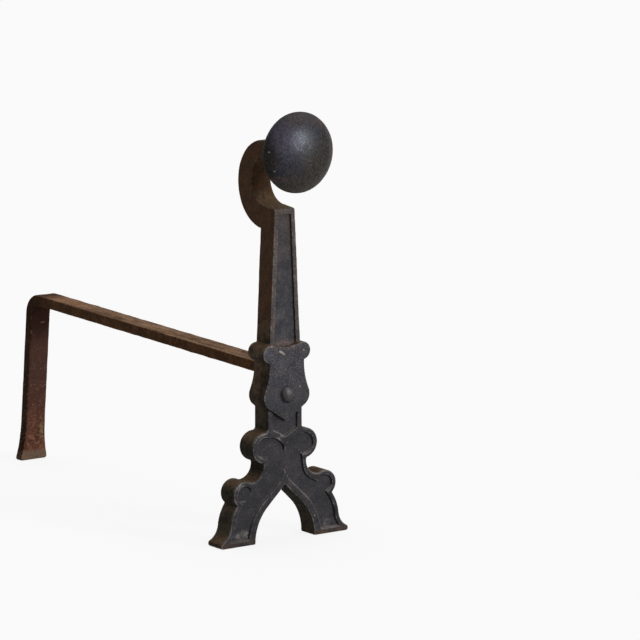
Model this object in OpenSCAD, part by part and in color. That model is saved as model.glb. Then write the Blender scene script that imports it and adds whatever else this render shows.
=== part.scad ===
// Andiron: a cast iron front with two scrolled feet, a raised shield and a
// curled top that carries a flattened ball, with a flat billet bar and rear leg.
// Millimetres. X runs across, the front faces -Y, the hearth is the plane z = 0.
// The origin is the bottom centre of the whole andiron's bounding box.

/* [Casting] */
// Thickness of the front casting, front rim to flat back
casting_d = 24.6; // [18:0.1:32]
// Depth of the sunk panels behind the front rims
panel_d = 2.6; // [1.5:0.1:4]

/* [Post] */
// Width of the post and of the curl at the top
post_top_w = 24.1; // [20:0.1:28]
// Width of the post where it meets the shield
post_foot_w = 37.1; // [32:0.1:40]
// Height of the post's front top edge
post_top_z = 343; // [325:0.5:346]
// Height where the post meets the shield
post_foot_z = 205.2; // [201:0.1:211]
// Width of the rim beside the post's sunk panel
post_rim = 4; // [2.5:0.1:5]
// Width of the rim above the post's sunk panel
post_rim_top = 5; // [3:0.1:8]
// Width of the plain stem below the shield
stem_w = 41.9; // [36:0.1:46]
// Width of the rim beside the stem's sunk panel
stem_rim = 5.6; // [3:0.1:8]

/* [Curl] */
// Radius of the curl's outside
curl_r = 45.4; // [42:0.1:48]
// Distance of the curl's outer centre behind the front rim
curl_y = 20.9; // [17:0.1:23]
// Height of the curl's outer centre
curl_z = 366.2; // [364:0.1:369]
// Radius of the curl's hollow
hollow_r = 25.2; // [22:0.1:27]
// Distance of the hollow's centre behind the front rim
hollow_y = 17.5; // [14:0.1:21]
// Height of the hollow's centre
hollow_z = 369.9; // [367:0.1:372]

/* [Ball] */
// Radius of the ball seen from the front
ball_r = 41.3; // [36:0.1:46]
// Half of the ball's thickness from front to back
ball_half_t = 17.5; // [15:0.1:26]
// Depth of the flat seat ground on the ball's back
ball_seat = 1.6; // [1.2:0.1:2.5]
// Height of the ball's centre
ball_z = 403.4; // [400:0.1:406]
// Distance from the front rim forward to the ball's seat
seat_y = 6.8; // [3:0.1:8]
// Diameter of the stud that holds the ball
stud_d = 9.5; // [8:0.1:12]
// Depth of the stud in the ball
stud_in_ball = 22; // [14:0.5:26]
// Depth of the stud in the curl's end
stud_in_curl = 20; // [12:0.5:24]

/* [Shield] */
// Distance the shield stands in front of the rims
shield_proud = 3.5; // [1.5:0.1:5]
// Distance of an ear's centre from the middle
ear_x = 20; // [18:0.1:22]
// Height of an ear's centre
ear_z = 195.8; // [193:0.1:198]
// Radius of an ear
ear_r = 9; // [8:0.1:10.5]
// Height of the dip between the ears
shield_dip_z = 201.5; // [199:0.1:203]
// Width of the shield's waist
waist_w = 42.6; // [38:0.1:44]
// Height of the shield's waist
waist_z = 184; // [178:0.5:186]
// Distance of a bulb's centre from the middle
bulb_x = 15; // [13:0.1:17]
// Height of a bulb's centre
bulb_z = 151; // [148:0.1:153]
// Radius of a bulb
bulb_r = 13.2; // [11.5:0.1:14.5]
// Height of the shield's lower tip
tip_z = 124.7; // [122:0.1:128]

/* [Scrolls] */
// Distance of an upper scroll's centre from the middle
scroll_x = 24.4; // [23:0.1:27]
// Height of an upper scroll's centre
scroll_z = 98.6; // [96:0.1:101]
// Radius of an upper scroll
scroll_r = 15.5; // [14:0.1:17]
// Distance of a lower scroll's centre from the middle
knee_x = 50; // [47:0.1:53]
// Height of a lower scroll's centre
knee_z = 53.2; // [51:0.1:56]
// Radius of a lower scroll
knee_r = 13.5; // [12:0.1:15]
// Distance of the neck hollow's centre from the middle
neck_x = 41.5; // [40:0.1:44]
// Height of the neck hollow's centre
neck_z = 79.7; // [77:0.1:82]
// Radius of the neck hollow
neck_r = 15.2; // [13:0.1:16]
// Height of the centre of the rim's arc at the neck hollow
neck_rim_z = 76.9; // [74:0.1:80]
// Radius of the rim's arc at the neck hollow
neck_rim_r = 18.6; // [17:0.1:20]
// Width of the rim around the scrolls and the legs
scroll_rim = 4.3; // [3:0.1:5.5]
// Distance of the heart arcs' centres from the middle
heart_x = 18.5; // [17:0.1:20]
// Height of the heart arcs' centres
heart_z = 90.3; // [87:0.1:93]
// Radius of the arcs above the heart shaped panel
heart_r = 18.7; // [16:0.1:19.5]
// Height of the lower edge of the V ridge at the middle
ridge_z = 108.2; // [104:0.1:111]
// Height that the V ridge gains from the middle to the stem's rims
ridge_rise = 8.5; // [5:0.1:11]
// Radius of the fillet between the stem and an upper scroll
stem_fillet = 3; // [1:0.1:3.4]

/* [Legs] */
// Half of the width across both toes
toe_x = 79.2; // [74:0.1:84]
// Radius of a toe's round nose
toe_r = 2.8; // [1.5:0.1:4]
// Radius of a leg's outer arc
leg_r = 47; // [44:0.5:50]
// Distance of the leg's outer side from the middle at its widest
leg_x = 67.5; // [65:0.1:70]
// Height of the leg's outer arc centre
leg_z = 15.2; // [12:0.5:18]
// Radius of the flare above a toe
flare_r = 18.5; // [14:0.1:22]
// Half of the arch's width on the hearth
arch_x = 37; // [33:0.5:41]
// Radius of the arch's sides
arch_r = 50; // [46:0.5:56]
// Height of the arch's point
arch_z = 58.6; // [53:0.5:61]
// Height of the centres of the arch's side arcs
arch_side_z = 1.2; // [0:0.1:4]
// Distance of a leg's sunk panel from the middle, at the hearth
arch_rim_x = 44.5; // [42:0.1:49]
// Radius of the rim's arc beside the arch
arch_rim_r = 56.6; // [52:0.1:60]
// Height where the rim's straight sides meet over the arch
arch_rim_z = 67.5; // [64:0.5:70]
// Height of the point that tops the rim over the arch
arch_tip_z = 73; // [70:0.5:78]
// Half of the width of that point
arch_tip_x = 5.5; // [3:0.1:8]
// Height of the rim under a leg's sunk panel
foot_rim = 5.8; // [4:0.1:9]

/* [Billet bar] */
// Width of the flat bar
bar_w = 24.5; // [20:0.5:30]
// Thickness of the flat bar
bar_t = 10.8; // [8:0.1:13]
// Height of the bar's top behind the casting
bar_top_z = 182.1; // [176:0.1:186]
// Upward slope of the bar to the rear, in degrees
bar_rise = 1.1; // [0:0.1:2]
// Level distance from the casting's back to the centre of the rear bend
bar_run = 430.5; // [300:0.5:560]
// Inner radius of the front bend
front_bend_r = 5; // [3:0.5:10]
// Inner radius of the rear bend
rear_bend_r = 13.5; // [5:0.1:16]
// Backward splay of the rear leg, in degrees
leg_splay = 6; // [0:0.5:10]
// Height of the lower end of the tab behind the shield
tab_end_z = 136; // [132:0.5:141]
// Widening of the rear foot on each side
foot_flare = 4.6; // [0:0.1:6]
// Height of the flared part of the rear foot
foot_flare_h = 40; // [15:0.5:50]
// Radius of the rear foot's lower corners
foot_corner_r = 2.5; // [1:0.1:5]

/* [Rivet] */
// Height of the rivet
rivet_z = 152.7; // [150:0.1:155]
// Diameter of the rivet's shank
rivet_d = 9.5; // [7:0.1:12]
// Diameter of the rivet's front head
rivet_head_d = 17.5; // [15:0.1:21]
// Height of the rivet's front head
rivet_head_h = 5.5; // [3:0.1:6]
// Diameter of the rivet's hammered rear head
rivet_tail_d = 16; // [14:0.1:20]
// Height of the rivet's hammered rear head
rivet_tail_h = 3.5; // [2:0.1:5]

/* [Fit] */
// Clearance on the radius of a shank or stud in its hole
clearance = 0.3; // [0.2:0.05:0.5]

/* [Hidden] */

iron = [0.2, 0.2, 0.21];
ball_iron = [0.24, 0.24, 0.28];
rusty_steel = [0.36, 0.25, 0.18];
rivet_steel = [0.32, 0.3, 0.29];

round_fn = 72;
small_fn = 48;
arc_step = 4;
cut = 1;
lap = 0.02;

// Points of an arc about c in a plane, from angle a0 to angle a1.
function polar(c, r, a) = [c[0] + r * cos(a), c[1] + r * sin(a)];
function arc(c, r, a0, a1) =
    let (n = max(2, ceil(abs(a1 - a0) / arc_step)))
    [for (i = [0 : n]) polar(c, r, a0 + (a1 - a0) * i / n)];

// Point where the line from p touches the circle of radius r about c, on the
// side that lies to the left of the way from p to c (side = 1) or right (-1).
// It lies a lap inside the circle, so that the line and the arc cross cleanly.
function touch(p, c, r, side) =
    let (d = norm(c - p), near = r - lap)
    polar(p, sqrt(d * d - near * near), atan2(c[1] - p[1], c[0] - p[0]) + side * asin(near / d));

// Crossing of two circles that lies to the left of the way from c0 to c1.
function meet(c0, r0, c1, r1) =
    let (d = norm(c1 - c0), along = (d * d + r0 * r0 - r1 * r1) / (2 * d))
    polar(c0, r0, atan2(c1[1] - c0[1], c1[0] - c0[0]) + acos(along / r0));

// Places that follow from the sizes above.
scroll_c = [scroll_x, scroll_z];
knee_c = [knee_x, knee_z];
neck_c = [neck_x, neck_z];
neck_rim_c = [neck_x, neck_rim_z];
heart_c = [heart_x, heart_z];
scroll_top_z = scroll_z + scroll_r;
arch_c = [arch_x - arch_r, arch_side_z];
arch_rim_c = [arch_rim_x - arch_rim_r, arch_side_z];
leg_c = [leg_x - leg_r, leg_z];
toe_c = [toe_x - toe_r, toe_r];
flare_c = meet(leg_c, leg_r + flare_r, toe_c, toe_r + flare_r);
bulb_c = [bulb_x, bulb_z];
waist_dz = waist_z - bulb_z;
waist_in = waist_w / 2 - bulb_x;
waist_r = (waist_in * waist_in + waist_dz * waist_dz - bulb_r * bulb_r) / (2 * (bulb_r - waist_in));
waist_c = [waist_w / 2 + waist_r, waist_z];
dip_drop = post_foot_z + 0.5 - shield_dip_z;
dip_r = (pow(post_foot_w / 2, 2) + dip_drop * dip_drop) / (2 * dip_drop);
bar_front_c = [casting_d + bar_t + front_bend_r, bar_top_z - bar_t - front_bend_r];
bar_rear_y = casting_d + bar_run;
bar_rear_z = bar_top_z + (bar_rear_y - bar_front_c[0]) * tan(bar_rise) - bar_t - rear_bend_r;
bar_rear_c = [bar_rear_y, bar_rear_z];
leg_face = polar(bar_rear_c, rear_bend_r, leg_splay);
leg_back = polar(bar_rear_c, rear_bend_r + bar_t, leg_splay);
foot_face_y = leg_face[0] + leg_face[1] * tan(leg_splay);
foot_back_y = leg_back[0] + leg_back[1] * tan(leg_splay);
ball_c_y = -seat_y - (ball_half_t - ball_seat);
front_y = ball_c_y - ball_half_t;
mid_y = (front_y + foot_back_y) / 2;

// Puts a front view outline into its place: drawn in x and z, the flat face
// towards the front at y0, going back by depth.
module from_front(y0, depth) {
    translate([0, y0 + depth, 0])
        rotate([90, 0, 0])
            linear_extrude(height = depth)
                children();
}

// Puts a side view outline into its place: drawn in y and z, centred on x.
module from_side(width) {
    translate([-width / 2, 0, 0])
        rotate([90, 0, 90])
            linear_extrude(height = width)
                children();
}

module both_sides() {
    children();
    mirror([1, 0, 0])
        children();
}

module disc(c, r) {
    translate(c)
        circle(r = r, $fn = round_fn);
}

// Round bar along y from y0 to y1 at height z.
module rod(y0, y1, z, d) {
    translate([0, y1, z])
        rotate([90, 0, 0])
            cylinder(d = d, h = y1 - y0, $fn = small_fn);
}

// ---- outlines of the front casting ----

module post_outline() {
    polygon([
        [-post_top_w / 2, post_top_z],
        [post_top_w / 2, post_top_z],
        [post_foot_w / 2, post_foot_z],
        [post_foot_w / 2, waist_z],
        [-post_foot_w / 2, waist_z],
        [-post_foot_w / 2, post_foot_z]
    ]);
}

module post_panel() {
    top = post_top_w / 2 - post_rim;
    foot = post_foot_w / 2 - post_rim - 0.5;
    polygon([
        [-top, post_top_z - post_rim_top],
        [top, post_top_z - post_rim_top],
        [foot, post_foot_z],
        [foot, ear_z],
        [-foot, ear_z],
        [-foot, post_foot_z]
    ]);
}

module stem_outline() {
    translate([-stem_w / 2, scroll_z])
        square([stem_w, bulb_z - scroll_z]);
}

module stem_panel() {
    half = stem_w / 2 - stem_rim;
    polygon([
        [-half, bulb_z],
        [half, bulb_z],
        [half, ridge_z + ridge_rise],
        [0, ridge_z],
        [-half, ridge_z + ridge_rise]
    ]);
}

module shield_half() {
    low = touch([0, tip_z], bulb_c, bulb_r, -1);
    join = bulb_c + (waist_c - bulb_c) * (bulb_r + 2 * cut) / (bulb_r + waist_r);
    difference() {
        polygon([
            [0, tip_z],
            low,
            bulb_c,
            join,
            [waist_w / 2, waist_z],
            [waist_w / 2, ear_z],
            [ear_x, ear_z + ear_r],
            [0, ear_z + ear_r]
        ]);
        disc(waist_c, waist_r + lap);
    }
    disc([ear_x, ear_z], ear_r);
    disc(bulb_c, bulb_r);
}

module shield_outline() {
    difference() {
        both_sides()
            shield_half();
        disc([0, shield_dip_z + dip_r], dip_r);
    }
}

// Half of the space under an arc about c, closed by its tangent from the middle.
module arch_half(c, r, point_z) {
    side = touch([0, point_z], c, r, 1);
    intersection() {
        union() {
            disc(c, r);
            polygon([[0, point_z], side, c, [c[0], 0]]);
        }
        translate([-lap, -cut])
            square([c[0] + r + cut, point_z + cut]);
    }
}

// Half of the scrolled base without its neck hollow, drawn further in by inset.
module base_half(inset) {
    polygon([
        [0, scroll_top_z - inset],
        [scroll_x, scroll_top_z - inset],
        scroll_c,
        neck_c,
        knee_c,
        [leg_x - inset - 3, leg_z],
        [arch_x, leg_z],
        [0, arch_z]
    ]);
    intersection() {
        disc(leg_c, leg_r - inset);
        translate([arch_x - 10, 0])
            square([leg_r, knee_z - knee_r + 3]);
    }
    difference() {
        polygon([[arch_x, 0], [toe_c[0], 0], toe_c, flare_c, leg_c]);
        disc(flare_c, flare_r + inset + lap);
    }
}

module scroll_pair(inset) {
    disc(scroll_c, scroll_r - inset);
    disc(knee_c, knee_r - inset);
}

module base_outline() {
    difference() {
        both_sides() {
            difference() {
                base_half(0);
                disc(neck_c, neck_r);
            }
            scroll_pair(0);
            disc(toe_c, toe_r);
            difference() {
                translate([0, scroll_top_z])
                    square([stem_w / 2 + stem_fillet, stem_fillet]);
                disc([stem_w / 2 + stem_fillet, scroll_top_z + stem_fillet], stem_fillet);
            }
        }
        both_sides()
            arch_half(arch_c, arch_r, arch_z);
    }
}

// The pointed piece of rim that runs out between a scroll and the neck hollow.
module rim_hook(c, r, a, side) {
    tip = polar(c, r - scroll_rim - 2 * lap, a);
    polygon([c, tip, touch(tip, neck_rim_c, neck_rim_r, side), neck_rim_c]);
}

// The sunk panel of the base: a heart under the V ridge that runs down both legs.
module base_panel() {
    arch_side = touch([0, arch_rim_z], arch_rim_c, arch_rim_r, 1);
    tip_side = arch_rim_z - cut + (arch_side[1] - arch_rim_z) * arch_tip_x / arch_side[0];
    difference() {
        both_sides()
            difference() {
                union() {
                    difference() {
                        base_half(scroll_rim);
                        disc(neck_rim_c, neck_rim_r);
                        rim_hook(scroll_c, scroll_r, -108, -1);
                        rim_hook(knee_c, knee_r, 160, 1);
                    }
                    scroll_pair(scroll_rim);
                }
                difference() {
                    translate([-cut, heart_z])
                        square([scroll_x + cut, scroll_r * 2]);
                    disc(heart_c, heart_r);
                    polygon([
                        heart_c,
                        [heart_x, heart_z + heart_r],
                        [scroll_x, scroll_top_z - scroll_rim],
                        [scroll_x + 2 * cut, heart_z]
                    ]);
                }
            }
        translate([-toe_x, -cut])
            square([2 * toe_x, foot_rim + cut]);
        both_sides()
            arch_half(arch_rim_c, arch_rim_r, arch_rim_z);
        polygon([[-arch_tip_x, tip_side], [0, arch_tip_z], [arch_tip_x, tip_side], [0, arch_z]]);
    }
}

// Side view of the curl, from the post's top around to the ball's seat.
module curl_outline() {
    end_z = hollow_z + hollow_r - lap;
    top_z = curl_z + curl_r - lap;
    difference() {
        union() {
            disc([curl_y, curl_z], curl_r);
            translate([-seat_y, hollow_z])
                square([curl_y + seat_y, top_z - hollow_z]);
        }
        disc([hollow_y, hollow_z], hollow_r);
        polygon([
            [-curl_r, curl_z - curl_r - cut],
            [post_rim, curl_z - curl_r - cut],
            [post_rim, post_top_z - post_rim_top],
            [0, post_top_z - post_rim_top],
            [0, post_top_z],
            [hollow_y, hollow_z - hollow_r + lap],
            [hollow_y, end_z],
            [-seat_y, end_z],
            [-seat_y, top_z + cut],
            [-curl_r, top_z + cut]
        ]);
    }
}

// ---- sub-parts ----

module place() {
    translate([0, -mid_y, 0])
        children();
}

module front_casting() {
    color(iron)
        place()
            difference() {
                union() {
                    difference() {
                        from_front(0, casting_d)
                            union() {
                                post_outline();
                                stem_outline();
                                base_outline();
                            }
                        from_front(-cut, panel_d + cut)
                            union() {
                                post_panel();
                                stem_panel();
                                base_panel();
                            }
                    }
                    from_front(-shield_proud, casting_d + shield_proud)
                        shield_outline();
                    from_side(post_top_w)
                        curl_outline();
                }
                rod(-shield_proud - cut, casting_d + cut, rivet_z, rivet_d + 2 * clearance);
                rod(-seat_y - cut, stud_in_curl - seat_y, ball_z, stud_d + 2 * clearance);
            }
}

module ball() {
    seat_a = -asin((ball_half_t - ball_seat) / ball_half_t);
    steps = 30;
    rim = [for (i = [0 : steps])
        let (a = seat_a + (90 - seat_a) * i / steps)
        [ball_r * cos(a), ball_half_t * sin(a)]];
    color(ball_iron)
        place()
            difference() {
                translate([0, ball_c_y, ball_z])
                    rotate([90, 0, 0])
                        rotate_extrude($fn = round_fn)
                            polygon(concat([[0, ball_half_t * sin(seat_a)]], rim));
                rod(-seat_y - stud_in_ball, -seat_y + cut, ball_z, stud_d + 2 * clearance);
            }
}

module ball_stud() {
    color(rivet_steel)
        place()
            rod(-seat_y - stud_in_ball, stud_in_curl - seat_y, ball_z, stud_d);
}

// Side view of the bar: tab, front bend, straight run, rear bend and leg.
module bar_outline() {
    rise_a = 90 + bar_rise;
    polygon(concat(
        [[casting_d, tab_end_z]],
        arc(bar_front_c, front_bend_r + bar_t, 180, rise_a),
        arc(bar_rear_c, rear_bend_r + bar_t, rise_a, leg_splay),
        [[foot_back_y, 0], [foot_face_y, 0]],
        arc(bar_rear_c, rear_bend_r, leg_splay, rise_a),
        arc(bar_front_c, front_bend_r, rise_a, 180),
        [[casting_d + bar_t, tab_end_z]]
    ));
}

// Front view of the spread foot at the end of the rear leg.
module foot_outline() {
    flare_big_r = foot_flare_h * foot_flare_h / (2 * foot_flare) + foot_flare / 2;
    half = bar_w / 2 + foot_flare;
    top_c = [bar_w / 2 + flare_big_r, foot_flare_h + foot_corner_r];
    both_sides()
        polygon(concat(
            [[0, 0], [0, top_c[1]]],
            arc(top_c, flare_big_r, 180, 180 + asin(foot_flare_h / flare_big_r)),
            arc([half - foot_corner_r, foot_corner_r], foot_corner_r, 0, -90)
        ));
}

module billet_bar() {
    color(rusty_steel)
        place()
            difference() {
                union() {
                    difference() {
                        from_side(bar_w)
                            bar_outline();
                        translate([-bar_w, bar_rear_y, -cut])
                            cube([2 * bar_w, bar_run, foot_flare_h + foot_corner_r + cut]);
                    }
                    intersection() {
                        from_side(2 * bar_w)
                            bar_outline();
                        from_front(bar_rear_y, bar_run)
                            foot_outline();
                    }
                }
                rod(casting_d - cut, casting_d + bar_t + cut, rivet_z, rivet_d + 2 * clearance);
            }
}

// A domed head of diameter d and height h, its flat face at y = 0, rising to -y.
module dome(d, h) {
    dome_r = (d * d / 4 + h * h) / (2 * h);
    intersection() {
        translate([0, dome_r - h, 0])
            sphere(r = dome_r, $fn = round_fn);
        rod(-h - cut, 0, 0, d + cut);
    }
}

module bar_rivet() {
    color(rivet_steel)
        place()
            union() {
                translate([0, -shield_proud, rivet_z])
                    dome(rivet_head_d, rivet_head_h);
                rod(-shield_proud, casting_d + bar_t, rivet_z, rivet_d);
                translate([0, casting_d + bar_t, rivet_z])
                    mirror([0, 1, 0])
                        dome(rivet_tail_d, rivet_tail_h);
            }
}

front_casting();
ball();
ball_stud();
billet_bar();
bar_rivet();
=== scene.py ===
import math

import bmesh
import bpy
import numpy as np
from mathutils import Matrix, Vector


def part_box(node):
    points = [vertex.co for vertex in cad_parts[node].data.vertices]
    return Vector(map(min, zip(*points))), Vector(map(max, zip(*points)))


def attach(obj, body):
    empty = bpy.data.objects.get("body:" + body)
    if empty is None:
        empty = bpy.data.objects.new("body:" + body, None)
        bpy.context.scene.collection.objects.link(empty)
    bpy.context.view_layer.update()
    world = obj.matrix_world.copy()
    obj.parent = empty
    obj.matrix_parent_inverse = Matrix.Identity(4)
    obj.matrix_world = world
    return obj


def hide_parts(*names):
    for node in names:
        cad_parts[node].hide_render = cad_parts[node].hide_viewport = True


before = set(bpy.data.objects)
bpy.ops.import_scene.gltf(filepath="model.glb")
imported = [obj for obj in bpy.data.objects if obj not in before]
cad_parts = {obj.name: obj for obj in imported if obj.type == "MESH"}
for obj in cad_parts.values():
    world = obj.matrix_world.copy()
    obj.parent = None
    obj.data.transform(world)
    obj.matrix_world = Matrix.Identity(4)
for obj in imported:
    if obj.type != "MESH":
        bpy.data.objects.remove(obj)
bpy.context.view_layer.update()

MM = 0.001

# Places and sizes that the looks share with the solids.
FRONT_Y = -228.4 * MM
RIVET_Z = 152.7 * MM
BALL_Z = 403.4 * MM
BALL_R = 41.3 * MM
BALL_HALF_T = 17.5 * MM

WHITE = (1, 1, 1, 1)


# ---- camera, floor and light ----

CAMERA_PLACE = (-2.57409, -3.89026, 1.04217)
CAMERA_AIM = (0.05786, -0.20831, 0.21993)
FLOOR_RADIUS = 16
ROOM_LIGHT = 0.42


def added(name, data):
    """A new object in the scene."""
    thing = bpy.data.objects.new(name, data)
    bpy.context.scene.collection.objects.link(thing)
    return thing


def facing_along(thing, way):
    thing.rotation_euler = Vector(way).to_track_quat("-Z", "Y").to_euler()


def studio_camera():
    """A long lens, front and left of the andiron and a little above it."""
    lens = bpy.data.cameras.new("camera")
    lens.sensor_width = 36
    lens.lens = 251.93
    lens.clip_end = 60
    camera = added("camera", lens)
    camera.location = CAMERA_PLACE
    facing_along(camera, Vector(CAMERA_AIM) - camera.location)
    bpy.context.scene.camera = camera
    bpy.context.scene.view_settings.view_transform = "Standard"


def pale_floor():
    """A wide round floor that keeps the shadow and otherwise looks white."""
    shape = bmesh.new()
    bmesh.ops.create_circle(shape, cap_ends=True, segments=96, radius=FLOOR_RADIUS)
    mesh = bpy.data.meshes.new("floor")
    shape.to_mesh(mesh)
    shape.free()
    mesh.materials.append(floor_paint())
    floor = added("floor", mesh)


def soft_lamp(name, level, spread, toward):
    """A broad, far lamp: level 1 lights a facing white card to about a third."""
    lamp = bpy.data.lights.new(name, "SUN")
    lamp.energy = level
    lamp.angle = math.radians(spread)
    facing_along(added(name, lamp), toward)


def studio_light():
    soft_lamp("key_lamp", level=1.7, spread=16, toward=(-0.43, 0.88, -0.19))
    soft_lamp("top_lamp", level=0.9, spread=60, toward=(-0.2, -0.15, -1))


# ---- finishes ----

class Level:
    """A number that changes over a surface; arithmetic on it adds Math nodes."""

    def __init__(self, nodes, socket):
        self.nodes = nodes
        self.socket = socket

    def math(self, operation, *values):
        settings = {"operation": operation}
        return self.nodes.node("ShaderNodeMath", settings, dict(enumerate(values)))

    def __add__(self, other):
        return self.math("ADD", self, other)

    def __sub__(self, other):
        return self.math("SUBTRACT", self, other)

    def __rsub__(self, other):
        return self.math("SUBTRACT", other, self)

    def __mul__(self, other):
        return self.math("MULTIPLY", self, other)

    __radd__ = __add__

    def __abs__(self):
        return self.math("ABSOLUTE", self)

    def or_more(self, other):
        return self.math("MAXIMUM", self, other)

    def root(self):
        return self.math("SQRT", self)


class Nodes:
    """The nodes of a material or of the world, all added and fed in one way."""

    def __init__(self, owner):
        owner.use_nodes = True
        self.tree = owner.node_tree
        self.tree.nodes.clear()

    def node(self, kind, settings=None, inputs=None, output=0):
        """Adds a node, sets it up and feeds it; gives back one of its outputs."""
        made = self.tree.nodes.new(kind)
        for key, value in (settings or {}).items():
            setattr(made, key, value)
        for key, value in (inputs or {}).items():
            if isinstance(value, Level):
                self.tree.links.new(value.socket, made.inputs[key])
            else:
                made.inputs[key].default_value = value
        return Level(self, made.outputs[output])

    def show(self, surface, kind="ShaderNodeOutputMaterial"):
        out = self.tree.nodes.new(kind)
        self.tree.links.new(surface.socket, out.inputs["Surface"])


class Finish(Nodes):
    """One material, and the few ways in which its pattern is put together."""

    COAT_ROUGHNESS = 0.4

    def __init__(self, name):
        self.material = bpy.data.materials.new(name)
        super().__init__(self.material)
        self.colour = WHITE
        self.place = self.node("ShaderNodeTexCoord", output="Object")
        self.x, self.y, self.z = self.parts(self.place)
        normal = self.node("ShaderNodeNewGeometry", output="Normal")
        self.east, self.north, self.up = self.parts(normal)

    def parts(self, vector):
        """The three parts of a place in metres, or of a direction, as levels."""
        return [self.node("ShaderNodeSeparateXYZ", None, {0: vector}, part)
                for part in range(3)]

    def cloud(self, size, detail=3, rough=0.55, stretch=(1, 1, 1), at=(0, 0, 0)):
        """Soft mottling from 0 to 1, whose blots are about size wide."""
        scale = tuple(1 / (size * part) for part in stretch)
        place = self.node("ShaderNodeMapping", None, {0: self.place, 1: at, 3: scale})
        return self.node("ShaderNodeTexNoise", None, {
            "Vector": place, "Scale": 1, "Detail": detail, "Roughness": rough})

    def cells(self, size, output="Distance"):
        """Scattered points about size apart: the distance to the nearest one."""
        place = self.node("ShaderNodeMapping", None, {0: self.place, 3: (1 / size,) * 3})
        return self.node("ShaderNodeTexVoronoi", None,
                         {"Vector": place, "Scale": 1}, output)

    def specks(self, size, share):
        """Small dots about size apart, in a share of the places for them."""
        dot = self.below(self.cells(size), 0.12, 0.32)
        return dot * self.above(self.cells(size, "Color"), 0.98 - share, 1.02 - share)

    def above(self, level, low, high):
        """0 below low, 1 above high, and a soft step between them."""
        return self.node("ShaderNodeMapRange", {"interpolation_type": "SMOOTHSTEP"},
                         {0: level, 1: low, 2: high, 3: 0, 4: 1})

    def below(self, level, low, high):
        return 1 - self.above(level, low, high)

    def higher(self, low, high):
        """0 below one height, 1 above another; both in millimetres."""
        return self.above(self.z, low * MM, high * MM)

    def lower(self, low, high):
        return 1 - self.higher(low, high)

    def behind(self, near, far):
        """0 in front of one place, 1 behind another; both in millimetres."""
        return self.above(self.y, near * MM, far * MM)

    def spot(self, place, reach):
        """1 in the middle of an oval at a place, 0 beyond its reach each way."""
        away = self.node("ShaderNodeVectorMath", {"operation": "SUBTRACT"},
                         {0: self.place, 1: tuple(part * MM for part in place)})
        away = self.node("ShaderNodeVectorMath", {"operation": "DIVIDE"},
                         {0: away, 1: tuple(part * MM for part in reach)})
        away = self.node("ShaderNodeVectorMath", {"operation": "LENGTH"}, {0: away}, "Value")
        return self.below(away, 0.2, 1)

    def spots(self, *spots):
        """Several spots in one level: each a place, a reach and a strength."""
        return sum(self.spot(place, reach) * strength for place, reach, strength in spots)

    def marked(self, name):
        """A level that was stored on the piece's own mesh."""
        return self.node("ShaderNodeAttribute",
                         {"attribute_type": "GEOMETRY", "attribute_name": name},
                         output="Fac")

    def mix(self, share, under, over):
        """A colour that goes from under to over as share goes from 0 to 1."""
        return self.node("ShaderNodeMix", {"data_type": "RGBA"},
                         {0: share, 6: as_seen(under), 7: as_seen(over)}, 2)

    def shade(self, level, colour):
        """A colour made lighter or darker by a level around 1."""
        return self.node("ShaderNodeVectorMath", {"operation": "SCALE"},
                         {0: colour, "Scale": level})

    def paint(self, share, colour):
        """Lays a colour over the finish's own."""
        self.colour = self.mix(share, self.colour, colour)

    def tone(self, level):
        """Makes the finish's own colour lighter or darker by a level around 1."""
        self.colour = self.shade(level, self.colour)

    def finished(self, roughness, height, relief, gloss, coat=0.0, glint=WHITE):
        """Joins colour, roughness, relief and blacking coat into the surface."""
        normal = self.node("ShaderNodeBump", None,
                           {"Strength": 1, "Distance": relief, "Height": height},
                           "Normal")
        self.show(self.node("ShaderNodeBsdfPrincipled", None, {
            "Base Color": self.colour, "Roughness": roughness, "Normal": normal,
            "Specular IOR Level": gloss, "Specular Tint": glint,
            "Coat Weight": coat, "Coat Roughness": self.COAT_ROUGHNESS}))
        return self.material


def as_seen(colour):
    """Turns a colour as it looks on screen, 0 to 255, into the shader's numbers.

    A colour that nodes make is in such numbers already, and is given back.
    """
    if isinstance(colour, Level):
        return colour

    def straight(part):
        part /= 255
        return part / 12.92 if part <= 0.04045 else ((part + 0.055) / 1.055) ** 2.4
    return (*map(straight, colour), 1)


def floor_paint():
    material = bpy.data.materials.new("pale_floor")
    paint = Nodes(material)
    seen = paint.node("ShaderNodeLightPath", output="Is Camera Ray")
    card = paint.node("ShaderNodeBsdfDiffuse", None, {"Color": as_seen((240, 240, 240))})
    white = paint.node("ShaderNodeEmission", None, {"Color": WHITE})
    paint.show(paint.node("ShaderNodeMixShader", None, {0: seen * 0.85, 1: card, 2: white}))
    return material


def pale_world():
    """A white room: at full level where it is seen, and lower as a light."""
    world = bpy.data.worlds.new("pale_room")
    room = Nodes(world)
    seen, glossy, through = (room.node("ShaderNodeLightPath", output=kind) for kind in (
        "Is Camera Ray", "Is Glossy Ray", "Is Transmission Ray"))
    level = seen.or_more(glossy).or_more(through) * (1 - ROOM_LIGHT) + ROOM_LIGHT
    sky = room.node("ShaderNodeBackground", None, {"Color": WHITE, "Strength": level})
    room.show(sky, "ShaderNodeOutputWorld")
    bpy.context.scene.world = world


def rivet_reach(finish):
    """How far each place lies from the rivet's middle, and how far toward its shaded side, away
    from the light.
    """
    x, z = finish.x, finish.z - RIVET_Z
    return (x * x + z * z).root(), x * -1 - z * 0.7


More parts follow.
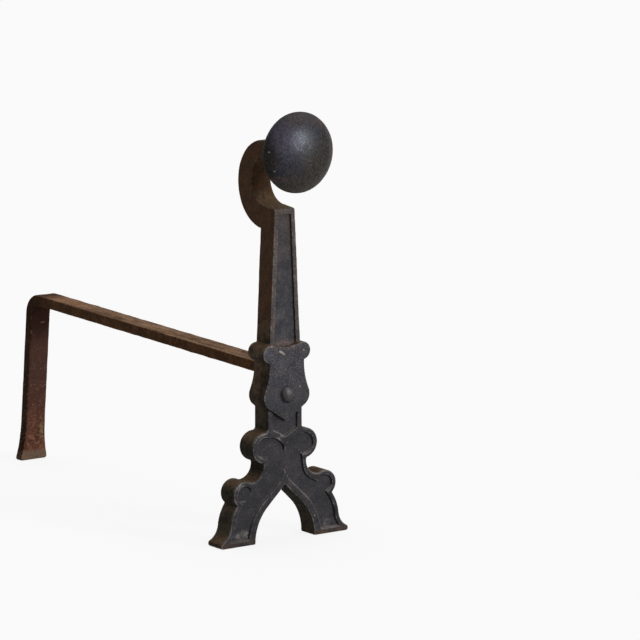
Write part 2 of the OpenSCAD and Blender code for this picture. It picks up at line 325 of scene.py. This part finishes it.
def brown_sides(iron, depth, patches, blots, soot):
    """The casting's sides and back: brown iron, sootier below and redder above, with painted
    shade in a strip behind the front below the shield.
    """
    bare = iron.above(patches + (blots - 0.5) * 0.6, 0.4, 0.62)
    plain = iron.mix(bare, (43, 35, 28), (72, 59, 45))
    redder = iron.mix(bare, (57, 41, 29), (67, 47, 32))
    sooty = iron.mix(bare, (29, 27, 22), (45, 41, 33))
    brown = iron.mix(iron.higher(200, 250), plain, redder)
    brown = iron.mix(soot * 0.9, brown, sooty)
    # Painted shade: a darker strip on the sides just behind the front, below the shield.
    shade_strip = iron.below(depth, 6 * MM, 12 * MM) * iron.higher(110, 130) * iron.lower(180, 200)
    brown = iron.shade(1.25 - iron.higher(30, 60) * 0.5 + iron.higher(80, 105) * 0.25
                       - shade_strip * 0.35 + (blots - 0.5) * 0.6, brown)
    dust = iron.above(iron.up, 0.25, 0.9) * iron.above(blots, 0.15, 0.65)
    return iron.mix(dust * 0.8, brown, (102, 82, 62))


def slate_front(iron, depth, patches, blots, soot, post, base):
    """The casting's front: slate grey blacking, browner up the post, rusty in spots, with the
    recessed panels painted darker as shade.
    """
    slate = iron.mix(iron.above(patches, 0.38, 0.64), (58, 57, 62), (73, 70, 73))
    browner = iron.above(iron.z + (patches - 0.5) * 0.14, 250 * MM, 350 * MM)
    slate = iron.mix(browner * 0.7, slate, (74, 64, 62))
    rim = iron.below(depth, 0.8 * MM, 2 * MM) * iron.higher(203, 206)
    slate = iron.mix(rim * 0.4, slate, (96, 84, 77))
    broad = iron.cloud(50 * MM, detail=3)
    worn = iron.above(broad * 0.6 + blots * 0.5 + patches * 0.3, 0.72, 0.9)
    slate = iron.mix(worn * 0.3, slate, (88, 75, 69))
    rust = iron.spots(
        ((0, -228, 204), (26, 9, 5), 0.7), ((-14, -228, 229), (2.5, 6, 12), 1),
        ((-12, -228, 262), (2, 6, 9), 0.5), ((38, -222, 65), (12, 14, 4), 0.9),
        ((24, -228, 39), (5, 6, 16), 0.4))
    slate = iron.mix(rust * iron.above(blots, 0.34, 0.6) * 0.7, slate, (118, 92, 80))
    # Painted shade: the recessed panels of the lower front are painted darker.
    sunk = iron.above(depth, 1.6 * MM, 2.4 * MM) * iron.higher(90, 130)
    shield = iron.higher(150, 190) * (1 - post)
    return iron.shade(0.93 - soot * 0.38 - sunk * 0.1 - shield * 0.1
                      + (patches - 0.5) * post * 0.9 + (blots - 0.5) * base * 0.5, slate)


def wear_on_iron(iron, front, depth, patches, blots):
    """Rubbed edges that also carry painted edge highlights, painted shade in corners and
    creases, painted highlights on up-facing ledges and a dark gap with painted shadow round the
    rivet; gives back where it is rubbed.
    """
    low = iron.below(iron.z + (blots - 0.5) * 0.02, 2 * MM, 8 * MM)
    iron.paint(low * iron.above(patches, 0.36, 0.56) * 0.8, (74, 55, 42))
    stands = iron.marked("stands_out")
    handled = iron.spots(
        ((-26, -231, 196), (12, 8, 14), 0.3), ((-6, -228, 108), (11, 6, 5), 0.5),
        ((-27, -228, 112), (12, 6, 10), 0.4), ((-56, -228, 64), (12, 6, 9), 0.4))
    # Rubbed blacking on the edges that stand out, lightened also as a painted edge highlight,
    # and along the shield's left ear.
    rubbed = iron.above(stands + handled + (blots - 0.5) * 1.4 + (patches - 0.5), 0.4, 1)
    rubbed = rubbed * (1 - iron.spot((8, -231, 131), (18, 8, 14)))
    iron.paint(rubbed * (front * 0.45 + 0.15), (134, 129, 128))
    # Painted shade: near black in corners and creases that do not face up.
    crease_shade = iron.above(stands * -1, 0.2, 0.8) * iron.below(iron.up, 0.05, 0.35)
    iron.paint(crease_shade * 0.8, (18, 15, 14))
    # Painted highlight: a pale tone on up-facing ledges near the front, weaker on parts of the
    # heart and the right ridge.
    ledge = iron.above(iron.up, 0.1, 0.45) * iron.below(depth, 2.6 * MM, 3 * MM)
    ledge = ledge * (iron.lower(116, 124) + iron.higher(204, 206) * 0.3)
    left_heart = iron.below(iron.x, -8 * MM, 6 * MM) * iron.lower(90, 104)
    right_ridge = iron.above(iron.x, 0, 4 * MM) * iron.higher(104, 108)
    ledge = ledge * (1 - left_heart * 0.6) * (1 - right_ridge * 0.5)
    iron.paint(ledge * iron.above(blots, 0, 0.6) * 0.75, (112, 108, 106))
    haze = iron.spot((0, -230, 204), (26, 8, 8)) * iron.above(patches + blots * 0.5, 0.5, 0.9)
    iron.paint(haze * 0.7, (116, 100, 98))
    reach, shade_side = rivet_reach(iron)
    # A dark gap round the rivet's head, with painted shadow added on its shaded side.
    ring = iron.below(reach, 8.8 * MM, 10.6 * MM) * (iron.above(shade_side, 0, 6 * MM) * 0.5 + 0.4)
    iron.paint(ring * front, (20, 17, 17))
    return rubbed


def marks_on_iron(iron, front, blots, sand):
    """What knocks and use left on the front: scuffs, blued patches, grit and chips."""
    scuffs = iron.spots(
        ((-22, -232, 196), (10, 4, 8), 0.25), ((-30, -226, 89), (8, 4, 3), 0.8),
        ((-51, -226, 46), (6, 4, 2.6), 0.8), ((52, -226, 12), (20, 4, 9), 0.6),
        ((-52, -226, 12), (17, 4, 8), 0.75))
    scuffs = iron.above(scuffs + (blots - 0.5) * 1.5, 0.3, 1.1) * front
    iron.paint(scuffs * 0.5, (126, 121, 117))
    blued = iron.spots(((-24, -232, 197), (13, 4, 8), 0.9), ((-12, -232, 190), (12, 4, 6), 0.6))
    blued = iron.above(blued + (blots - 0.5) * 2 + (sand - 0.5) * 1.4, 0.2, 1.1) * front
    iron.paint(blued * 0.3, (78, 84, 98))
    on_shield = iron.spot((0, -232, 190), (44, 9, 48)) * 0.85 + 0.15
    iron.paint(iron.specks(1.6 * MM, 0.6) * front * on_shield * 0.6, (140, 139, 141))
    chips = iron.spots(
        ((-9, -232, 198), (3.4, 4, 1.9), 0.9), ((-6.6, -232, 196.3), (3.6, 4, 2.2), 0.9),
        ((-4, -232, 194.5), (3.4, 4, 1.9), 0.8), ((-18.9, -232, 204), (2, 4, 1.4), 0.8),
        ((20.5, -232, 196.3), (1.4, 4, 1.4), 1), ((16, -232, 159), (1.4, 4, 1.4), 0.7),
        ((36.8, -228.4, 21.1), (1.5, 4, 1.5), 1), ((-57, -226, 9.6), (9, 4, 6), 0.45),
        ((-46, -226, 11), (8, 4, 8), 0.45))
    chips = iron.above(chips + (sand - 0.5) * 1.6 + (blots - 0.5) * 0.8, 0.3, 1)
    iron.paint(chips * 0.6, (176, 168, 157))


def cast_iron():
    """Old blacked cast iron: slate grey in front, brown where blacking wore off."""
    iron = Finish("cast_iron")
    patches = iron.cloud(13 * MM, detail=5, rough=0.65, at=(1, 4, 2))
    blots = iron.cloud(4.5 * MM, detail=4, rough=0.7, at=(3, 1, 2))
    sand = iron.cloud(2 * MM, detail=3, rough=0.8)
    depth = iron.y - FRONT_Y
    front = iron.above(iron.north * -1, 0.25, 0.8) * iron.below(depth, 4 * MM, 9 * MM)
    soot = iron.lower(85, 190)
    post = iron.higher(200, 206)
    base = iron.lower(118, 132)

    iron.colour = iron.mix(front, brown_sides(iron, depth, patches, blots, soot),
                           slate_front(iron, depth, patches, blots, soot, post, base))
    rubbed = wear_on_iron(iron, front, depth, patches, blots)
    coarse = front * (2 - post - base * 1.4) + 1.6
    iron.tone((sand - 0.5) * coarse + 1)
    marks_on_iron(iron, front, blots, sand)

    pit = iron.below(iron.cells(3.4 * MM), 0.1, 0.32)
    return iron.finished(
        roughness=0.74 + blots * 0.2 - rubbed * 0.16,
        height=sand * 0.9 + blots * 1.1 - pit * 0.6, relief=0.6 * MM,
        gloss=0.06, coat=front * 0.14)


def ball_iron():
    """Smoother blue-black iron with brown mottling and fine peened wrinkles, with a painted
    highlight, sheen and halo in front and painted shade at the sides.
    """
    iron = Finish("ball_iron")
    patches = iron.cloud(15 * MM, detail=5, rough=0.65)
    blots = iron.cloud(4 * MM, detail=4, rough=0.7, at=(4, 0, 1))
    sand = iron.cloud(1.7 * MM, detail=3, rough=0.75)
    wrinkles = iron.below(abs(iron.cloud(5.5 * MM, detail=1, at=(1, 2, 5)) - 0.5), 0.02, 0.09)

    iron.colour = iron.mix(iron.above(patches, 0.4, 0.62), (29, 29, 35), (40, 37, 40))
    # Painted sheen: a bluish tone round the highlight.
    painted_sheen = iron.spot((-10, -266, 414), (46, 30, 46))
    iron.paint(painted_sheen * 0.9, (43, 42, 51))
    # Painted halo: a mauve tone beside the highlight, up and to the left.
    mauve = iron.spot((-25, -262, 421), (24, 22, 26))
    iron.paint(mauve * 0.6, (60, 54, 65))
    warm = iron.above(iron.x * 12 - (iron.z - BALL_Z) * 11 + (patches - 0.5), -0.2, 0.25)
    iron.paint(warm * 0.9, (48, 42, 35))
    # Brown tone on the top, also lighter there as painted light from above.
    crown = iron.spot((-2, -262, 440), (34, 20, 14))
    iron.paint(crown * 0.7, (58, 50, 47))
    # Painted shade and a brown painted reflection of the curl at the ball's left edge, which is
    # also rougher.
    curl_shade = iron.spot((-36, -254, 398), (11, 20, 34))
    iron.paint(curl_shade * 0.8, (34, 29, 22))
    edge = iron.spots(((34, -258, 404), (9, 12, 28), 0.5), ((22, -260, 432), (18, 12, 10), 0.5),
                      ((-28, -258, 379), (16, 14, 10), 0.5))
    tarnish = iron.above(edge + blots * 0.9 + patches * 0.7 - 1, 0, 0.7)
    iron.paint(tarnish * 0.7, (74, 58, 50))
    # Painted highlight: pale wrinkles in the highlight's core over a darker ground.
    highlight_core = iron.spot((-6, -268, 414), (15, 20, 12))
    # Painted shade: darker on the ball's right side.
    right_shade = iron.spot((26, -262, 410), (20, 22, 30))
    iron.tone(sand * 1.6 + blots * 1.1 + wrinkles * (highlight_core * 4.2 - 0.5) - 0.05
              - highlight_core * 0.6 - right_shade * 0.4)
    iron.paint(iron.specks(2.6 * MM, 0.4) * 0.14, (120, 118, 118))
    chips = iron.spots(((-39.1, -256.4, 407.6), (1.6, 2, 1.3), 1),
                       ((-34, -258.5, 388), (1.2, 2, 1.2), 1))
    iron.paint(chips * 0.3, (190, 190, 180))

    rim_and_back = iron.behind(-262, -254)
    handled = iron.spot((-8, -266, 416), (40, 30, 40))
    return iron.finished(
        roughness=0.22 + blots * 0.12 + tarnish * 0.2 + curl_shade * 0.5 + rim_and_back * 0.35,
        height=wrinkles * 0.7 + blots * 0.6 + sand * 0.25, relief=0.36 * MM,
        gloss=0.12, coat=handled * 0.3, glint=(0.7, 0.85, 1, 1))


def rusty_steel():
    """Wrought bar: brown scale, redder down the leg, tan where logs rub it."""
    steel = Finish("rusty_steel")
    patches = steel.cloud(14 * MM, detail=5, rough=0.65)
    blots = steel.cloud(4 * MM, detail=5, rough=0.72, at=(2, 5, 1))
    sand = steel.cloud(1.9 * MM, detail=3, rough=0.8)
    drawn = steel.cloud(3 * MM, detail=4, rough=0.65, stretch=(1, 2.4, 3.2), at=(5, 2, 8))
    along = steel.cloud(8 * MM, detail=4, rough=0.6, stretch=(1, 5, 1), at=(3, 3, 1))
    scale = steel.above(patches + (blots - 0.5) * 0.6, 0.36, 0.66)
    steel.colour = steel.mix(scale, (53, 35, 20), (75, 49, 30))

    top = steel.above(steel.up, 0.5, 0.95) * (1 - steel.behind(185, 225) * 0.8)
    tan = steel.mix(steel.above(blots * 0.4 + along * 0.6, 0.36, 0.64),
                    (82, 59, 42), (144, 114, 90))
    steel.paint(top, steel.mix(steel.behind(100, 200) * 0.5, tan, (148, 108, 80)))

    leg = steel.above(steel.north * -1, 0.4, 0.9) * steel.behind(200, 235)
    face = steel.mix(drawn, (56, 38, 32), (76, 51, 43))
    face = steel.mix(steel.higher(125, 175), face, (58, 34, 25))
    red = steel.below(steel.z + (patches - 0.5) * 0.08, 30 * MM, 110 * MM)
    face = steel.mix(red * 0.75, face, steel.mix(scale, (70, 42, 34), (98, 62, 48)))
    steel.paint(leg, face)
    near_foot = steel.lower(14, 75)
    orange = steel.above(blots + near_foot * 0.1, 0.56, 0.7) * near_foot
    steel.paint(orange * leg * 0.4, (136, 92, 62))
    moss = steel.spot((7, 254, 34), (10, 14, 22)) * 0.7 + (blots - 0.5) * 2.4
    steel.paint(steel.above(moss, 0.35, 0.9) * leg * 0.7, (122, 103, 68))

    # Painted shade: the rear bend and the leg's left-facing sides are made darker.
    bend = steel.behind(195, 230) * (1 - top)
    bend = bend * steel.above(steel.higher(120, 160) * 0.3 - steel.east * 0.4, 0, 0.3)
    steel.tone(1 - bend * 0.55)
    band = steel.below(steel.z + (blots - 0.5) * 0.016, 8 * MM, 13 * MM)
    worn_foot = steel.mix(drawn, (86, 70, 58), (112, 94, 78))
    steel.paint(band * (leg * 0.6 + 0.25), worn_foot)
    rubbed = steel.above(steel.marked("stands_out") + (blots - 0.5) * 1.6, 0.4, 1)
    steel.paint(rubbed * 0.3, (124, 92, 70))
    steel.tone(sand * 1.4 + blots * 0.5 + 0.05)
    grit = steel.specks(2.2 * MM, 0.3) * steel.lower(60, 170)
    steel.paint(grit * 0.6, (154, 128, 112))
    scratches = steel.spots(((3, 241, 157), (4, 4, 1.2), 1), ((-11, 243, 147), (1.2, 4, 3), 1))
    steel.paint(scratches * 0.3, (142, 116, 104))

    pit = steel.below(steel.cells(3.6 * MM), 0.1, 0.34)
    return steel.finished(
        roughness=0.8 + sand * 0.14,
        height=sand + blots * 1.4 - pit * 0.8, relief=0.55 * MM, gloss=0.05)


def hammered_steel():
    """Rivet heads: dark forge scale, rubbed on the hammer marks' edges, with a painted
    highlight on the crown and painted shade on the head's lower and shaded sides.
    """
    steel = Finish("hammered_steel")
    blots = steel.cloud(4 * MM, detail=4, rough=0.65)
    sand = steel.cloud(1.5 * MM, detail=3)
    steel.colour = steel.mix(blots, (74, 72, 74), (56, 54, 56))
    rubbed = steel.above(steel.marked("stands_out") + (blots - 0.5) * 1.4, 0.3, 0.9)
    steel.paint(rubbed * 0.4, (116, 110, 106))
    # Painted highlight: a pale spot on the head's crown.
    crown = steel.spot((-1.8, -235.6, 157.4), (3.4, 6, 4))
    steel.paint(crown * 0.5, (122, 119, 119))
    # Painted shade: a darker spot on the head's lower right.
    lower_right_shade = steel.spot((3, -236, 148.6), (5, 8, 6))
    steel.paint(lower_right_shade * 0.6, (48, 47, 43))
    reach, shade_side = rivet_reach(steel)
    # Painted shade on the head's shaded side, and a dark rim all round its edge.
    foot = steel.above(reach + shade_side * 0.3, 7.2 * MM, 9 * MM) * 0.9
    foot = foot + steel.above(reach, 7.6 * MM, 8.6 * MM) * (0.6 - foot * 0.6)
    steel.paint(foot, (18, 13, 11))
    steel.tone(0.2 + sand * 1.6)
    return steel.finished(
        roughness=0.32 + blots * 0.16,
        height=sand * 0.5 + blots * 0.9, relief=0.16 * MM, gloss=0.16)


# ---- forms ----

# Edges bent by less than the first are dissolved, by more than the second eased.
# Both are in radians.
FLAT_ANGLE = math.radians(0.2)
SHARP_ANGLE = 0.7


def joined_copy(node, name, ease=0):
    """A copy of one of the frame's solids, joined up, its sharp edges eased."""
    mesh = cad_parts[node].data.copy()
    mesh.name = name
    shape = bmesh.new()
    shape.from_mesh(mesh)
    bmesh.ops.remove_doubles(shape, verts=shape.verts, dist=0.001 * MM)
    if ease:
        bmesh.ops.dissolve_limit(shape, angle_limit=FLAT_ANGLE,
                                 verts=shape.verts, edges=shape.edges)
        sharp = [edge for edge in shape.edges if edge.calc_face_angle(0) > SHARP_ANGLE]
        bmesh.ops.bevel(shape, geom=sharp, offset=ease, offset_type="OFFSET",
                        segments=3, profile=0.5, affect="EDGES", clamp_overlap=False)
    shape.to_mesh(mesh)
    shape.free()
    mesh.materials.clear()
    return added(name, mesh)


def settle(piece):
    """Makes the modifiers' result the piece's own mesh."""
    view = bpy.context.evaluated_depsgraph_get()
    view.update()
    made = bpy.data.meshes.new_from_object(piece.evaluated_get(view))
    piece.modifiers.clear()
    old = piece.data
    piece.data = made
    bpy.data.meshes.remove(old)
    made.name = piece.name


def soft_skin(piece, cell, rounds, swell=0):
    """Gives a sharp solid the soft edges that a mould or a hammer leaves."""
    skin = piece.modifiers.new("skin", "REMESH")
    skin.mode = "VOXEL"
    skin.voxel_size = cell
    grow = piece.modifiers.new("grow", "DISPLACE")
    grow.mid_level = 0
    grow.strength = swell
    ease = piece.modifiers.new("ease", "SMOOTH")
    ease.factor = 0.5
    ease.iterations = rounds
    settle(piece)


def uneven(piece, size, depth):
    """Moves the surface in and out within depth, in waves about size wide."""
    pattern = bpy.data.textures.new(piece.name + "_unevenness", "CLOUDS")
    pattern.noise_scale = size
    pattern.noise_depth = 2
    press = piece.modifiers.new("press", "DISPLACE")
    press.texture = pattern
    press.texture_coords = "LOCAL"
    press.mid_level = 0.5
    press.strength = depth
    settle(piece)


def fewer_faces(piece, most):
    """Thins out flat stretches until the piece has no more than most triangles."""
    triangles = sum(len(face.vertices) - 2 for face in piece.data.polygons)
    if triangles > most:
        thin = piece.modifiers.new("thin", "DECIMATE")
        thin.ratio = most / triangles
        settle(piece)


def read(things, name, width, kind=float):
    """One property of all of a mesh's points or edges, as rows of numbers."""
    values = np.empty(len(things) * width, kind)
    things.foreach_get(name, values)
    return values.reshape(-1, width)


def points_of(piece):
    return read(piece.data.vertices, "co", 3)


def move_points(piece, points):
    piece.data.vertices.foreach_set("co", points.ravel())


def keep_in_box(piece, node):
    """Holds a piece within the corners of the solid that it replaces."""
    low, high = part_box(node)
    move_points(piece, np.clip(points_of(piece), low, high))


def mark_what_stands_out(piece, full, spread=2):
    """Stores how far each place stands out (to 1) or lies in a corner (to -1)."""
    mesh = piece.data
    points = points_of(piece)
    normals = read(mesh.vertices, "normal", 3)
    first, second = read(mesh.edges, "vertices", 2, np.int32).T
    step = points[second] - points[first]
    reach = (step ** 2).sum(1)
    count = len(points)
    bend = np.bincount(first, -(normals[first] * step).sum(1) / reach, count)
    bend += np.bincount(second, (normals[second] * step).sum(1) / reach, count)
    meets = np.bincount(first, minlength=count) + np.bincount(second, minlength=count)
    bend = np.clip(2 * bend / meets / full, -1, 1)
    for _ in range(spread):
        near = np.bincount(first, bend[second], count)
        near += np.bincount(second, bend[first], count)
        bend = (bend + near / meets) / 2
    marks = mesh.attributes.new("stands_out", "FLOAT", "POINT")
    marks.data.foreach_set("value", bend.astype(np.float32))


def finish_piece(piece, material, slot, *nodes):
    piece.data.shade_smooth()
    piece.data.materials.clear()
    piece.data.materials.append(material)
    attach(piece, "root")
    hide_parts(*nodes)


def make_casting():
    casting = joined_copy("front_casting", "casting", ease=0.7 * MM)
    soft_skin(casting, cell=0.6 * MM, rounds=7, swell=0.3 * MM)
    uneven(casting, size=30 * MM, depth=0.5 * MM)
    fewer_faces(casting, most=190_000)
    keep_in_box(casting, "front_casting")
    mark_what_stands_out(casting, full=500)
    finish_piece(casting, cast_iron(), "cast_iron", "front_casting")


def true_oval(ball, near=0.93, seat_gap=0.7 * MM):
    """Puts the ball's skin back on its true oval, but for the flat seat behind."""
    low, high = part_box("ball")
    centre = np.array([0, low.y + BALL_HALF_T, BALL_Z])
    size = np.array([BALL_R, BALL_HALF_T, BALL_R])
    points = points_of(ball)
    place = (points - centre) / size
    out = np.linalg.norm(place, axis=1)
    skin = (out > near) & (points[:, 1] < high.y - seat_gap)
    place[skin] /= out[skin, None]
    move_points(ball, place * size + centre)


def make_ball():
    ball = joined_copy("ball", "flat_ball")
    soft_skin(ball, cell=0.5 * MM, rounds=3)
    true_oval(ball)
    uneven(ball, size=12 * MM, depth=0.35 * MM)
    keep_in_box(ball, "ball")
    finish_piece(ball, ball_iron(), "ball_iron", "ball")


def make_bar():
    bar = joined_copy("billet_bar", "bar_and_leg", ease=1.1 * MM)
    soft_skin(bar, cell=0.7 * MM, rounds=6, swell=0.35 * MM)
    uneven(bar, size=18 * MM, depth=0.7 * MM)
    fewer_faces(bar, most=150_000)
    keep_in_box(bar, "billet_bar")
    mark_what_stands_out(bar, full=500)
    finish_piece(bar, rusty_steel(), "bar_steel", "billet_bar")


DOME_CENTRE = (0, FRONT_Y + 0.7 * MM, RIVET_Z)
DOME_R = 9.71 * MM

# The hammer's blows on the rivet's front head: each a direction and a depth in mm.
BLOWS = [
    ((-0.06, -0.94, 0.32), 0.34), ((0.2, -0.96, -0.16), 0.3), ((-0.7, -0.68, -0.24), 1),
    ((-0.62, -0.66, 0.42), 0.8), ((0.62, -0.76, 0.16), 0.8), ((0.36, -0.76, -0.54), 0.8),
    ((0.36, -0.7, 0.6), 0.8), ((-0.24, -0.72, -0.66), 0.9)]


def hammer_flats(rivet):
    """Strikes the blows' flats on the rivet's round front head."""
    points = points_of(rivet)
    for toward, deep in BLOWS:
        toward = np.array(toward) / np.linalg.norm(toward)
        over = (points - DOME_CENTRE) @ toward - (DOME_R - deep * MM)
        points -= np.outer(np.maximum(over, 0), toward)
    move_points(rivet, points)


def make_rivet():
    rivet = joined_copy("bar_rivet", "rivet")
    soft_skin(rivet, cell=0.35 * MM, rounds=2)
    hammer_flats(rivet)
    uneven(rivet, size=4 * MM, depth=0.2 * MM)
    keep_in_box(rivet, "bar_rivet")
    mark_what_stands_out(rivet, full=700)
    finish_piece(rivet, hammered_steel(), "rivet_steel", "bar_rivet")


def dress_stud():
    """The stud is hidden between ball and curl, and keeps its own form."""
    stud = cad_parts["ball_stud"]
    stud.data.materials.clear()
    stud.data.materials.append(hammered_steel())


studio_camera()
studio_light()
pale_world()
pale_floor()
make_casting()
make_ball()
make_bar()
make_rivet()
dress_stud()
